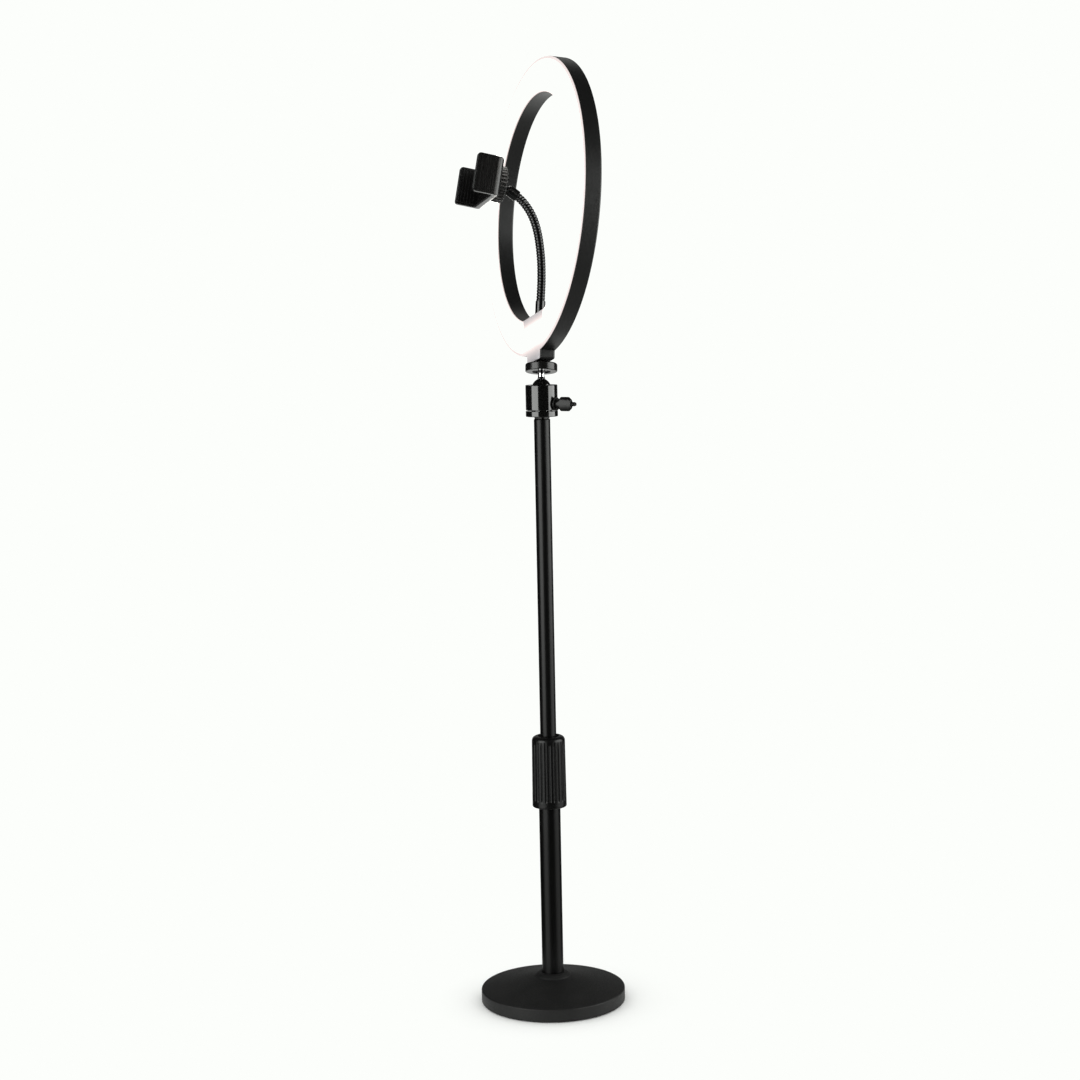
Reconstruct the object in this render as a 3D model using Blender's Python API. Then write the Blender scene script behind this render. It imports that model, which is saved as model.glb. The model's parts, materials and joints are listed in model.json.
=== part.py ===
"""Ring light on a telescopic desk stand, with a ball head and a phone holder.

Every physical piece is one closed body.  Lengths are written in millimetres and
turned into metres by MM.  The row frame has its origin at the centre of the foot
pad's underside, +Z up, and the light faces -Y.
"""
import math

import bmesh
import bpy
from mathutils import Matrix, Vector

for item in list(bpy.data.objects):
    bpy.data.objects.remove(item, do_unlink=True)

MM = 0.001
GAP = 0.3                      # clearance between pieces that touch

# Foot
BASE_R = 64.0                  # outer radius of the weighted base
BASE_RIM_Z = 11.9              # top of the base's outer rim
BASE_CROWN_Z = 26.1            # top of the base where the tube leaves it
PAD_R = 60.9
PAD_T = 2.0
BOLT_R = 4.0

# Telescopic stand
LOWER_R, LOWER_IN = 9.5, 8.3   # lower tube, outside and inside radius
LOWER_Z = (12.3, 206.0)
UPPER_R, UPPER_IN = 7.1, 6.0   # upper tube
UPPER_Z = (168.0, 519.2)
GRIP_R = 15.15                 # clutch grip at its lower band
GRIP_TOP_R = 14.6
GRIP_Z = (176.5, 239.9)
GRIP_FLUTES = 14
FLUTE_D = 0.9

# Ball head
HEAD_R = 13.9
HEAD_Z = (526.9, 548.7)        # the turning housing
HEAD_BASE_Z = (521.2, 526.2)
BALL_R = 8.3
BALL_Z = 545.9                 # height of the ball's centre
KNOB_Z = 532.2
KNOB_TURN = 38.0               # degrees from +X towards +Y
STEM_R = 3.0
STUD_R = 3.1                   # quarter-inch camera screw
DISC_R = 13.9
DISC_Z = (14.2, 22.2)          # along the stem, from the ball's centre

# How the ring stands at rest
TILT_BACK = 5.21               # degrees, top away from the front
SIDE_LEAN = -12.0              # degrees about +Y, top towards -X
RING_UP = 159.4                # ring centre above the ball, along the stem

# Ring
RING_R, RING_IN = 130.0, 99.5
RING_T = 15.5
WALL = 1.8
FRONT, BACK = -RING_T / 2, RING_T / 2
LIP = FRONT + 1.35             # front edge of the rear shell
BOSS_DOWN = 136.6              # boss underside below the ring's centre
PAD_DOWN = 95.6                # flat inside the ring that the arm stands on
RING_SIDES = 60
SCREW_PCR = 114.75             # radius of the circle of case screws
SCREW_COUNT = 6
LED_COUNT = 16

# Flexible arm: its line in the stem frame as (forward/back, up) points
ARM_LINE = ((-1.3, 60.2), (-0.5, 78.0), (0.3, 98.0), (-0.4, 118.0),
            (-3.9, 140.0), (-10.5, 155.8), (-21.7, 167.7))
ARM_PEAK, ARM_VALLEY = 3.75, 3.3
ARM_PITCH = 4.0
ARM_SIDES = 10
NOSE_R = 2.35                  # ball nose on the upper end of each hose link
FERRULE_R = 4.3

# Phone holder, built in its own frame with its origin in the holder's ball
HOLDER_BALL = (0.0, -36.0, 177.0)      # in the stem frame
HOLDER_TURN = (-7.2, 5.9, -3.4)        # degrees about X, Y, Z
HOLDER_BALL_R = 5.6
JAW_X = 36.0                   # outer face of each jaw
JAW_T = 4.5
JAW_Y = (-32.1, -13.2)         # front edge to bar
JAW_Z = (-17.6, 16.0)
BAR_Y = (-13.2, -7.6)          # face that the phone rests on, to the back
BAR_STEP = 0.3                 # how far the face round the phone rest stands back
BAR_END = 24.0                 # where the sliding jaw meets the bar


def material(name, colour, metallic, roughness, glow=0.0):
    """A Principled material for one piece."""
    mat = bpy.data.materials.new(name)
    mat.use_nodes = True
    shader = mat.node_tree.nodes["Principled BSDF"]
    shader.inputs["Base Color"].default_value = (*colour, 1.0)
    shader.inputs["Metallic"].default_value = metallic
    shader.inputs["Roughness"].default_value = roughness
    if glow:
        shader.inputs["Emission Color"].default_value = (*colour, 1.0)
        shader.inputs["Emission Strength"].default_value = glow
    mat.diffuse_color = (*colour, 1.0)
    return mat


LOOKS = {
    "cast_black": ((0.030, 0.030, 0.032), 0.0, 0.75),
    "satin_black": ((0.020, 0.020, 0.022), 0.3, 0.38),
    "gloss_black": ((0.012, 0.012, 0.014), 0.4, 0.15),
    "plastic_black": ((0.025, 0.025, 0.027), 0.0, 0.45),
    "rubber_black": ((0.022, 0.022, 0.022), 0.0, 0.85),
    "hose_black": ((0.018, 0.018, 0.020), 0.6, 0.35),
    "chrome": ((0.80, 0.80, 0.82), 1.0, 0.08),
    "steel": ((0.55, 0.55, 0.57), 1.0, 0.30),
    "brass": ((0.70, 0.52, 0.25), 1.0, 0.30),
    "nylon": ((0.80, 0.80, 0.78), 0.0, 0.50),
    "board": ((0.88, 0.88, 0.86), 0.0, 0.50),
    "board_green": ((0.04, 0.22, 0.10), 0.0, 0.50),
    "guide": ((0.92, 0.93, 0.94), 0.0, 0.20),
}


def shift(x=0.0, y=0.0, z=0.0):
    return Matrix.Translation((x * MM, y * MM, z * MM))


def turn(degrees, axis):
    return Matrix.Rotation(math.radians(degrees), 4, axis)


STEM = shift(z=BALL_Z) @ turn(-TILT_BACK, "X") @ turn(SIDE_LEAN, "Y")
# Ring frame: x across, y down, z towards the back
RING = STEM @ shift(z=RING_UP) @ turn(-90, "X")
HOLDER = (STEM @ shift(*HOLDER_BALL) @ turn(HOLDER_TURN[0], "X")
          @ turn(HOLDER_TURN[1], "Y") @ turn(HOLDER_TURN[2], "Z"))
HOLDER_AXIS = HOLDER @ turn(-90, "X")
KNOB = shift(z=KNOB_Z) @ turn(KNOB_TURN, "Z") @ turn(90, "Y")


def revolve(profile, sides, flutes=False):
    """Closed body of revolution.  A profile point is (radius, height[, flute depth])."""
    bm = bmesh.new()
    rings = []
    for point in profile:
        radius, height = point[0], point[1]
        depth = point[2] if len(point) > 2 else 0.0
        if radius == 0:
            rings.append([bm.verts.new((0, 0, height * MM))])
            continue
        ring = []
        for i in range(sides):
            angle = 2 * math.pi * i / sides
            reach = (radius - (depth if flutes and i % 4 > 1 else 0.0)) * MM
            ring.append(bm.verts.new((reach * math.cos(angle), reach * math.sin(angle),
                                      height * MM)))
        rings.append(ring)
    for k, ring in enumerate(rings):
        after = rings[(k + 1) % len(rings)]
        skin(bm, ring, after)
    return bm


def skin(bm, ring, after):
    """Faces between two rings, either of which may be a single point."""
    if len(ring) == 1 and len(after) == 1:
        return
    count = max(len(ring), len(after))
    for i in range(count):
        j = (i + 1) % count
        if len(ring) == 1:
            bm.faces.new((ring[0], after[i], after[j]))
        elif len(after) == 1:
            bm.faces.new((ring[i], after[0], ring[j]))
        else:
            bm.faces.new((ring[i], after[i], after[j], ring[j]))


def prism(outline, low, high):
    """An outline of (x, y) points extruded along z."""
    bm = bmesh.new()
    bottom = [bm.verts.new((x * MM, y * MM, low * MM)) for x, y in outline]
    top = [bm.verts.new((x * MM, y * MM, high * MM)) for x, y in outline]
    bm.faces.new(bottom)
    bm.faces.new(top)
    skin(bm, bottom, top)
    return bm


def rounded(x0, x1, y0, y1, radius, steps=3):
    """Outline of a rectangle with rounded corners."""
    points = []
    corners = ((x1 - radius, y1 - radius, 0), (x0 + radius, y1 - radius, 90),
               (x0 + radius, y0 + radius, 180), (x1 - radius, y0 + radius, 270))
    for cx, cy, start in corners:
        for k in range(steps + 1):
            angle = math.radians(start + 90 * k / steps)
            points.append((cx + radius * math.cos(angle), cy + radius * math.sin(angle)))
    return points


def circle(radius, sides, cx=0.0, cy=0.0):
    return [(cx + radius * math.cos(2 * math.pi * i / sides),
             cy + radius * math.sin(2 * math.pi * i / sides)) for i in range(sides)]


def piece(name, bm, look, frame=Matrix.Identity(4), glow=0.0):
    """Turn a bmesh into a named object with its own material."""
    bmesh.ops.recalc_face_normals(bm, faces=bm.faces)
    mesh = bpy.data.meshes.new(name)
    bm.to_mesh(mesh)
    bm.free()
    mesh.materials.append(material(name, *LOOKS[look], glow))
    obj = bpy.data.objects.new(name, mesh)
    obj.matrix_world = frame
    bpy.context.scene.collection.objects.link(obj)
    return obj


def combine(obj, bm, frame, how):
    """Cut a tool body from a piece, or join one to it, and bake the result."""
    bmesh.ops.recalc_face_normals(bm, faces=bm.faces)
    mesh = bpy.data.meshes.new("tool")
    bm.to_mesh(mesh)
    bm.free()
    tool = bpy.data.objects.new("tool", mesh)
    tool.matrix_world = frame
    bpy.context.scene.collection.objects.link(tool)
    step = obj.modifiers.new("step", "BOOLEAN")
    step.operation = how
    step.solver = "EXACT"
    step.object = tool
    bpy.context.view_layer.update()
    graph = bpy.context.evaluated_depsgraph_get()
    baked = bpy.data.meshes.new_from_object(obj.evaluated_get(graph))
    obj.modifiers.remove(step)
    old = obj.data
    baked.name = old.name
    obj.data = baked
    bpy.data.meshes.remove(old)
    bpy.data.objects.remove(tool, do_unlink=True)
    bpy.data.meshes.remove(mesh)


def cut(obj, bm, frame):
    combine(obj, bm, frame, "DIFFERENCE")


def join(obj, bm, frame):
    combine(obj, bm, frame, "UNION")


# ---------------------------------------------------------------- foot
def build_foot():
    piece("base_pad", revolve([(0, 0), (PAD_R - 0.6, 0), (PAD_R, 0.6), (PAD_R, PAD_T),
                               (0, PAD_T)], 40), "rubber_black")
    crown = [
        (BOLT_R + GAP, 12.0), (BOLT_R + GAP, 8.2), (10.5, 8.2), (10.5, PAD_T + GAP),
        (PAD_R + GAP, PAD_T + GAP), (PAD_R + GAP, 0.6), (BASE_R - 0.8, 0.6),
        (BASE_R, 1.4), (BASE_R, BASE_RIM_Z - 1.2), (BASE_R - 1.2, BASE_RIM_Z),
        (40.0, 17.0), (16.4, 22.6), (15.4, 23.7), (13.2, 25.4),
        (LOWER_R + GAP, BASE_CROWN_Z), (LOWER_R + GAP, 12.0)]
    piece("base_plate", revolve(crown, 44), "cast_black")
    piece("base_washer", revolve([(4.5, 6.3), (9.5, 6.3), (9.5, 7.9), (4.5, 7.9)], 16), "steel")
    bolt = piece("base_bolt", revolve([(0, 5.0), (BOLT_R, 5.0), (BOLT_R, 30.4),
                                       (BOLT_R - 0.8, 31.2), (0, 31.2)], 12), "steel")
    join(bolt, prism(circle(7.0, 6), 2.4, 6.0), Matrix.Identity(4))
    piece("tube_plug", revolve([(BOLT_R + GAP, 12.6), (LOWER_IN - GAP, 12.6),
                                (LOWER_IN - GAP, 32.4), (LOWER_IN - 1.0, 33.0),
                                (BOLT_R + GAP, 33.0)], 16), "steel")


# ---------------------------------------------------------------- stand
def build_stand():
    low, high = LOWER_Z
    piece("lower_tube", revolve([(LOWER_IN, low), (LOWER_R, low), (LOWER_R, high),
                                 (LOWER_IN, high)], 32), "satin_black")
    piece("clutch_ferrule", revolve([
        (LOWER_R + GAP, 186.0), (11.5, 186.0), (11.5, 215.0), (10.5, 215.0),
        (8.7, 208.5), (8.7, high + 0.4), (LOWER_R + GAP, high + 0.4)], 22), "plastic_black")
    collet = piece("clutch_collet", revolve([
        (UPPER_R + GAP, 209.2), (8.35, 209.2), (10.1, 215.6), (10.1, 224.0),
        (8.8, 230.0), (UPPER_R + GAP, 230.0)], 22), "nylon")
    cut(collet, prism(rounded(6.0, 12.0, -0.9, 0.9, 0.2, 1), 205, 235), Matrix.Identity(4))
    bottom, top = GRIP_Z
    bore, throat = 11.9, UPPER_R + 0.5
    grip = [
        (LOWER_R + 0.4, bottom), (GRIP_R - 0.7, bottom), (GRIP_R, bottom + 0.9),
        (GRIP_R, bottom + 5.2), (GRIP_R, bottom + 6.8, FLUTE_D),
        (GRIP_TOP_R, top - 5.2, FLUTE_D), (GRIP_TOP_R - 0.1, top - 3.8),
        (GRIP_TOP_R - 1.2, top - 1.5), (10.6, top), (throat, top), (throat, top - 5.4),
        (bore, top - 13.9), (bore, bottom + 4.5), (LOWER_R + 0.4, bottom + 3.0)]
    piece("clutch_grip", revolve(grip, 4 * GRIP_FLUTES, flutes=True), "rubber_black")
    low, high = UPPER_Z
    piece("upper_tube", revolve([(UPPER_IN, low), (UPPER_R, low), (UPPER_R, high),
                                 (UPPER_IN, high)], 32), "satin_black")
    piece("upper_tube_foot", revolve([
        (0, 160.0), (7.3, 160.0), (LOWER_IN - 0.4, 160.8), (LOWER_IN - 0.4, low - GAP),
        (UPPER_IN - GAP, low - GAP), (UPPER_IN - GAP, 178.0), (0, 178.0)], 16), "nylon")


# ---------------------------------------------------------------- ball head
def build_head():
    top = UPPER_Z[1]
    piece("head_stud", revolve([
        (0, 498.0), (UPPER_IN - GAP, 498.0), (UPPER_IN - GAP, top + GAP),
        (6.6, top + GAP), (6.6, HEAD_BASE_Z[0] - GAP), (STUD_R, HEAD_BASE_Z[0] - GAP),
        (STUD_R, 528.2), (0, 528.2)], 16), "steel")
    low, high = HEAD_BASE_Z
    piece("head_base", revolve([
        (STUD_R + GAP, low), (HEAD_R - 0.7, low), (HEAD_R + 0.1, low + 0.8),
        (HEAD_R + 0.1, high - 0.3), (HEAD_R - 0.3, high), (9.0, high), (9.0, 528.6),
        (STUD_R + GAP, 528.6)], 32), "gloss_black")
    low, high = HEAD_Z
    room = BALL_R + 0.35
    lip = high - BALL_Z
    bowl = [(math.sqrt(room ** 2 - (lip * k / 3) ** 2), BALL_Z + lip * k / 3)
            for k in (3, 1.5, 0)]
    housing = piece("head_housing", revolve([
        (0, 528.9), (9.3, 528.9), (9.3, low), (HEAD_R - 0.5, low), (HEAD_R, low + 0.5),
        (HEAD_R, high - 0.7), (HEAD_R - 0.7, high), (room, high), *bowl,
        (room, 543.0), (9.9, 542.4), (9.9, 530.0), (0, 530.0)], 32), "gloss_black")
    cut(housing, revolve([(0, 6.0), (2.3, 6.0), (2.3, 16.0), (0, 16.0)], 12), KNOB)
    rest = BALL_R + GAP
    cup = [(rest * math.sin(math.radians(a)), BALL_Z - rest * math.cos(math.radians(a)))
           for a in (18, 36, 54)]
    piece("ball_seat", revolve([
        (0, BALL_Z - rest), *cup, (9.6, cup[-1][1]), (9.6, 534.9), (6.5, 534.9),
        (0, 536.5)], 16), "nylon")
    piece("lock_shoe", revolve([(0, 530.3), (2.4, 530.3), (2.4, 533.8), (0, 536.0)], 12), "brass")
    piece("lock_screw", revolve([(0, 2.8), (0.8, 2.8), (1.9, 4.2), (1.9, 34.3),
                                 (1.5, 34.9), (0, 34.9)], 12), "gloss_black", KNOB)
    piece("lock_washer", revolve([(2.3, 14.3), (5.6, 14.3), (6.0, 14.7), (6.0, 15.6),
                                  (2.3, 15.6)], 18), "gloss_black", KNOB)
    wing = [(-3.4, 16.0), (3.4, 16.0), (4.0, 18.0), (6.2, 19.4), (6.2, 28.2), (4.0, 30.4),
            (-4.0, 30.4), (-6.2, 28.2), (-6.2, 19.4), (-4.0, 18.0)]
    knob = piece("lock_knob", prism(wing, -2.3, 2.3), "gloss_black", KNOB @ turn(90, "X"))
    join(knob, revolve([(0, 15.9), (3.9, 15.9), (3.9, 28.8), (3.2, 30.0), (0, 30.0)], 16), KNOB)
    cut(knob, revolve([(0, 14.0), (2.2, 14.0), (2.2, 32.0), (0, 32.0)], 12), KNOB)

    ball = [(BALL_R * math.sin(math.pi * k / 9), -BALL_R * math.cos(math.pi * k / 9))
            for k in range(1, 9)]
    piece("ball", revolve([(0, -BALL_R), *ball, (0, BALL_R)], 20), "gloss_black",
          shift(z=BALL_Z))
    reach = BALL_R + GAP
    piece("ball_stem", revolve([
        (0, reach), (1.6, math.sqrt(reach ** 2 - 1.6 ** 2)),
        (STEM_R, math.sqrt(reach ** 2 - STEM_R ** 2)), (STEM_R, 12.6), (STUD_R, 12.9),
        (STUD_R, 30.6), (2.5, 31.2), (0, 31.2)], 16), "chrome", STEM)
    low, high = DISC_Z
    piece("locking_disc", revolve([
        (STUD_R + GAP, low + 1.2), (7.4, low + 1.2), (8.0, low), (DISC_R - 0.8, low),
        (DISC_R, low + 0.8), (DISC_R, high - 1.8), (DISC_R - 1.0, high - 0.8),
        (9.4, high - 0.1), (9.0, high - 1.1), (STUD_R + GAP, high - 1.1)], 28),
        "gloss_black", STEM)
    piece("disc_pad", revolve([(STUD_R + GAP, high - 0.8), (8.6, high - 0.8), (8.6, high + 0.2),
                               (STUD_R + GAP, high + 0.2)], 20), "rubber_black", STEM)


# ---------------------------------------------------------------- ring
def boss(low, high):
    """The foot of the ring that stands on the locking disc, as a tapered block."""
    top = RING_R - 1.4
    return prism([(-16.0, top), (16.0, top), (15.6, BOSS_DOWN - 1.8), (14.0, BOSS_DOWN),
                  (-14.0, BOSS_DOWN), (-15.6, BOSS_DOWN - 1.8)], low, high)


def arm_pad(low, high):
    """Segment that fills the bottom of the ring's opening up to a flat."""
    radius = RING_IN + 0.9
    reach = math.asin(math.sqrt(radius ** 2 - PAD_DOWN ** 2) / radius)
    turns = [reach * (1 - k / 4) for k in range(9)]
    return prism([(radius * math.sin(a), radius * math.cos(a)) for a in turns], low, high)


def around(count, offset, radius):
    """Frames spaced round the ring, starting offset degrees from its lowest point."""
    for k in range(count):
        yield RING @ turn(offset + 360 * k / count, "Z") @ shift(y=radius)


def build_ring():
    outer, inner = RING_R - WALL, RING_IN + WALL
    floor = BACK - WALL
    shell = piece("ring_shell", revolve([
        (RING_R, LIP), (RING_R, BACK - 1.1), (RING_R - 1.1, BACK), (RING_IN + 1.1, BACK),
        (RING_IN, BACK - 1.1), (RING_IN, LIP), (inner, LIP), (inner, floor), (outer, floor),
        (outer, LIP)], RING_SIDES), "plastic_black", RING)
    join(shell, boss(LIP, BACK - 0.6), RING)
    join(shell, arm_pad(LIP, BACK - 0.6), RING)
    cut(shell, revolve([(0, 20.0), (5.2, 20.0), (5.2, 32.4), (0, 32.4)], 14), STEM)
    cut(shell, revolve([(0, 52.0), (2.3, 52.0), (2.3, 60.2), (4.9, 60.2), (4.9, 66.0),
                        (0, 66.0)], 16), arm_frame())
    for frame in around(SCREW_COUNT, 30, SCREW_PCR):
        cut(shell, revolve([(0, floor - 2), (1.9, floor - 2), (1.9, BACK - 0.9),
                            (3.1, BACK - 0.9), (3.1, BACK + 2), (0, BACK + 2)], 8), frame)
    inlet = RING @ turn(20, "Z") @ shift(y=SCREW_PCR)
    cut(shell, revolve([(0, floor - 2), (3.2, floor - 2), (3.2, BACK + 2), (0, BACK + 2)], 12),
        inlet)
    glass = piece("ring_diffuser", revolve([
        (RING_IN + 0.1, LIP - GAP), (RING_IN + 0.1, FRONT + 0.5), (RING_IN + 0.7, FRONT),
        (RING_R - 0.7, FRONT), (RING_R - 0.1, FRONT + 0.5), (RING_R - 0.1, LIP - GAP),
        (outer - GAP, LIP - GAP), (outer - GAP, LIP + 0.8), (inner + GAP, LIP + 0.8),
        (inner + GAP, LIP - GAP)], RING_SIDES), "guide", RING, glow=2.0)
    join(glass, boss(FRONT + 0.2, LIP - GAP), RING)
    join(glass, arm_pad(FRONT + 0.2, LIP - GAP), RING)
    piece("light_guide", revolve([(107.0, -5.2), (126.0, -5.2), (126.0, -3.6), (107.0, -3.6)],
                                 40), "guide", RING)

    leds = revolve([(103.5, 2.2), (112.8, 2.2), (116.6, 2.2), (126.2, 2.2), (126.2, 3.4),
                    (103.5, 3.4)], 3 * LED_COUNT)
    pads = [face for face in leds.faces
            if abs(face.calc_center_median().z - 2.2 * MM) < 1e-6
            and 113.0 * MM < face.calc_center_median().xy.length < 116.4 * MM]
    pads.sort(key=lambda face: math.atan2(face.calc_center_median().y,
                                          face.calc_center_median().x))
    for face in pads[::3]:
        lifted = bmesh.ops.extrude_discrete_faces(leds, faces=[face])["faces"][0]
        bmesh.ops.translate(leds, verts=lifted.verts, vec=(0, 0, -0.9 * MM))
    piece("led_board", leds, "board", RING)

    arc = [(106.5, 180 - 14 + 4 * k) for k in range(8)] + [(122.0, 180 + 14 - 4 * k)
                                                           for k in range(8)]
    outline = [(r * math.sin(math.radians(a)), -r * math.cos(math.radians(a))) for r, a in arc]
    piece("driver_board", prism(outline, 4.0, 5.2), "board_green", RING)
    piece("thread_insert", revolve([
        (STUD_R + GAP, 23.2), (4.2, 23.2), (4.9, 23.9), (4.9, 32.0), (STUD_R + GAP, 32.0)], 14),
        "brass", STEM)
    for k, frame in enumerate(around(SCREW_COUNT, 30, SCREW_PCR)):
        piece(f"case_screw_{k + 1}", revolve([
            (0, 4.2), (1.5, 4.2), (1.5, BACK - 0.6), (2.7, BACK - 0.6), (2.7, BACK - 0.1),
            (1.9, BACK + 0.4), (0, BACK + 0.4)], 8), "steel", frame)
    piece("power_inlet", revolve([
        (0, 5.5), (2.9, 5.5), (2.9, BACK + GAP), (4.6, BACK + GAP), (4.6, BACK + 1.3),
        (4.1, BACK + 1.8), (1.5, BACK + 1.8), (1.5, 6.6), (0, 6.6)], 12), "plastic_black", inlet)


# ---------------------------------------------------------------- flexible arm
def arm_points():
    """The arm's joints as vectors in the stem frame, the holder's ball last."""
    points = [Vector((0, y, z)) for y, z in ARM_LINE]
    return points + [Vector(HOLDER_BALL)]


def arm_tangents():
    """Direction of the arm at each joint."""
    points = arm_points()
    result = [(points[1] - points[0]).normalized()]
    for before, after in zip(points[:-2], points[2:]):
        result.append((after - before).normalized())
    result[-1] = (points[-1] - points[-2]).normalized()
    result.append(result[-1])
    return result


def arm_frame():
    """Frame of the socket at the foot of the arm: z along the arm, origin at the ball."""
    foot, direction = arm_points()[0], arm_tangents()[0]
    angle = math.degrees(math.atan2(direction.y, direction.z))
    start = foot - direction * foot.z / direction.z
    return STEM @ shift(*start) @ turn(-angle, "X")


def hermite(k, share):
    """Point and direction a share of the way along the arm from joint k to k + 1."""
    a, b = arm_points()[k:k + 2]
    ta, tb = arm_tangents()[k:k + 2]
    span = (b - a).length
    u = share
    place = (a * (2 * u ** 3 - 3 * u ** 2 + 1) + ta * span * (u ** 3 - 2 * u ** 2 + u)
             + b * (3 * u ** 2 - 2 * u ** 3) + tb * span * (u ** 3 - u ** 2))
    slope = (a * (6 * u ** 2 - 6 * u) + ta * span * (3 * u ** 2 - 4 * u + 1)
             + b * (6 * u - 6 * u ** 2) + tb * span * (3 * u ** 2 - 2 * u))
    return place, slope.normalized()


def swept(stations, origin):
    """Skin over (centre, direction, radius) stations of an arm in the stem frame."""
    bm = bmesh.new()
    across = Vector((1, 0, 0))
    rings = []
    for centre, direction, radius in stations:
        centre = centre - origin
        if radius == 0:
            rings.append([bm.verts.new(centre * MM)])
            continue
        side = direction.cross(across)
        rings.append([bm.verts.new((centre + radius * (
            across * math.cos(2 * math.pi * i / ARM_SIDES)
            + side * math.sin(2 * math.pi * i / ARM_SIDES))) * MM) for i in range(ARM_SIDES)])
    for ring, after in zip(rings, rings[1:]):
        skin(bm, ring, after)
    return bm


def cup(point, direction):
    """Hollow end that takes the nose of the link before."""
    hollow = NOSE_R + GAP
    return [(point + direction * hollow * math.cos(math.radians(a)), direction,
             hollow * math.sin(math.radians(a))) for a in (0, 42, 84)]


def nose(point, direction):
    """Rounded end that turns in the link after."""
    return [(point + direction * NOSE_R * math.cos(math.radians(a)), direction,
             NOSE_R * math.sin(math.radians(a))) for a in (96, 48, 0)]


def link(k):
    """Stations of the hose link between arm joints k and k + 1."""
    points, ways = arm_points(), arm_tangents()
    length = (points[k + 1] - points[k]).length
    stations = cup(points[k], ways[k])
    stations.append((points[k] + ways[k] * 0.27, ways[k], ARM_VALLEY))
    ridges = round(length / ARM_PITCH)
    for n in range(2 * ridges - 1):
        share = (n + 1) / (2 * ridges)
        place, way = hermite(k, share)
        stations.append((place, way, ARM_PEAK if n % 2 == 0 else ARM_VALLEY))
    stations.append((points[k + 1] - ways[k + 1] * 0.27, ways[k + 1], ARM_VALLEY))
    return stations + nose(points[k + 1], ways[k + 1])


def build_arm():
    points, ways = arm_points(), arm_tangents()
    foot, top = points[0], points[1]
    frame = arm_frame()
    base = [(0, 52.8), (1.9, 52.8), (1.9, 60.4), (4.5, 60.4), (4.5, 62.0), (FERRULE_R, 62.4),
            (FERRULE_R, 76.0), (ARM_VALLEY, top.z - 0.5), (NOSE_R, top.z - 0.5)]
    base += [(NOSE_R * math.sin(math.radians(a)), top.z + NOSE_R * math.cos(math.radians(a)))
             for a in (80, 42)] + [(0, top.z + NOSE_R)]
    piece("arm_ferrule", revolve(base, 16), "hose_black", frame)
    piece("arm_nut", revolve([(2.2, 53.6), (3.05, 53.6), (3.05, 57.4), (2.2, 57.4)], 6), "steel",
          frame)
    for k in range(1, len(ARM_LINE) - 1):
        piece(f"arm_link_{k}", swept(link(k), points[k]), "hose_black",
              STEM @ shift(*points[k]))
    last, way = points[-2], ways[-1]
    sleeve = cup(last, way) + [
        (last + way * 0.27, way, ARM_VALLEY + 0.2), (last + way * 1.1, way, FERRULE_R),
        (last + way * 7.4, way, FERRULE_R), (last + way * 8.6, way, FERRULE_R - 1.0),
        (last + way * 8.6, way, 2.5), (last + way * 4.4, way, 2.5), (last + way * 4.4, way, 0)]
    piece("arm_sleeve", swept(sleeve, last), "plastic_black", STEM @ shift(*last))
    ball = points[-1]
    stud = [(last + way * 4.7, way, 0), (last + way * 4.7, way, 2.2)]
    stud += [(ball - way * HOLDER_BALL_R * math.cos(math.radians(a)), way,
              HOLDER_BALL_R * math.sin(math.radians(a))) for a in (24, 54, 84, 114, 144)]
    stud.append((ball + way * HOLDER_BALL_R, way, 0))
    piece("holder_ball", swept(stud, ball), "gloss_black", STEM @ shift(*ball))


# ---------------------------------------------------------------- phone holder
def jaw(x0, x1):
    """A jaw plate between two x positions, its corners rounded."""
    plate = prism(rounded(JAW_Y[0], BAR_Y[1], JAW_Z[0], JAW_Z[1], 3.2), x0, x1)
    bmesh.ops.transform(plate, matrix=Matrix(((0, 0, 1, 0), (1, 0, 0, 0), (0, 1, 0, 0),
                                              (0, 0, 0, 1))), verts=plate.verts)
    return plate


def bar(x0, x1, y0, y1, z0, z1, radius):
    """A rounded bar lying along the holder's x axis."""
    body = prism(rounded(y0, y1, z0, z1, radius, 2), x0, x1)
    bmesh.ops.transform(body, matrix=Matrix(((0, 0, 1, 0), (1, 0, 0, 0), (0, 1, 0, 0),
                                             (0, 0, 0, 1))), verts=body.verts)
    return body


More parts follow.
